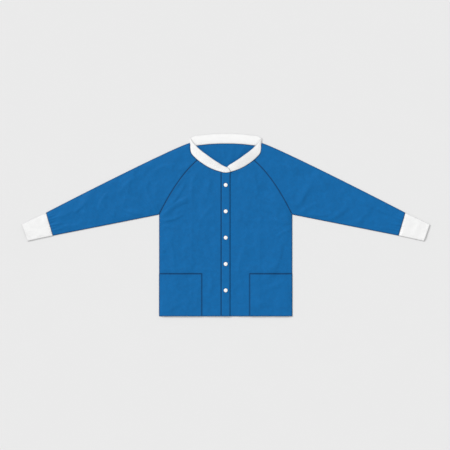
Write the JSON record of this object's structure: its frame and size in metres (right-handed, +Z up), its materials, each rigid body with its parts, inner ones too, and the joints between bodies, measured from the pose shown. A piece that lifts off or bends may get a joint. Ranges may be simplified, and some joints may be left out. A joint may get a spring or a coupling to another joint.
{
  "type": "disposable warm-up jacket",
  "caption": "Disposable warm-up jacket in blue nonwoven cloth with rib-knit collar and cuffs, a snap front and patch pockets, laid flat on its back.",
  "frame": {"origin": "on the surface it lies on, under the middle of its bounding box", "axes": "+X from the wearer's right sleeve to the wearer's left sleeve, +Y from hem to collar, +Z up out of the front"},
  "size_m": [1.78, 0.798, 0.0135],
  "materials": {
    "nonwoven_blue": "spunbond nonwoven, dull with a slight sheen",
    "rib_knit_white": "rib knit, matt",
    "snap_white": "moulded plastic, semi-gloss"
  },
  "bodies": {
    "root": {"back_panel": "nonwoven_blue", "front_right": "nonwoven_blue", "front_left": "nonwoven_blue", "front_band": "nonwoven_blue", "sleeve_right": "nonwoven_blue", "sleeve_left": "nonwoven_blue", "pocket_right": "nonwoven_blue", "pocket_left": "nonwoven_blue", "cuff_right": "rib_knit_white", "cuff_left": "rib_knit_white", "collar": "rib_knit_white", "snap_cap_1": "snap_white", "snap_cap_2": "snap_white", "snap_cap_3": "snap_white", "snap_cap_4": "snap_white", "snap_cap_5": "snap_white", "snap_stud_1": "snap_white", "snap_stud_2": "snap_white", "snap_stud_3": "snap_white", "snap_stud_4": "snap_white", "snap_stud_5": "snap_white"}
  },
  "joints": []
}
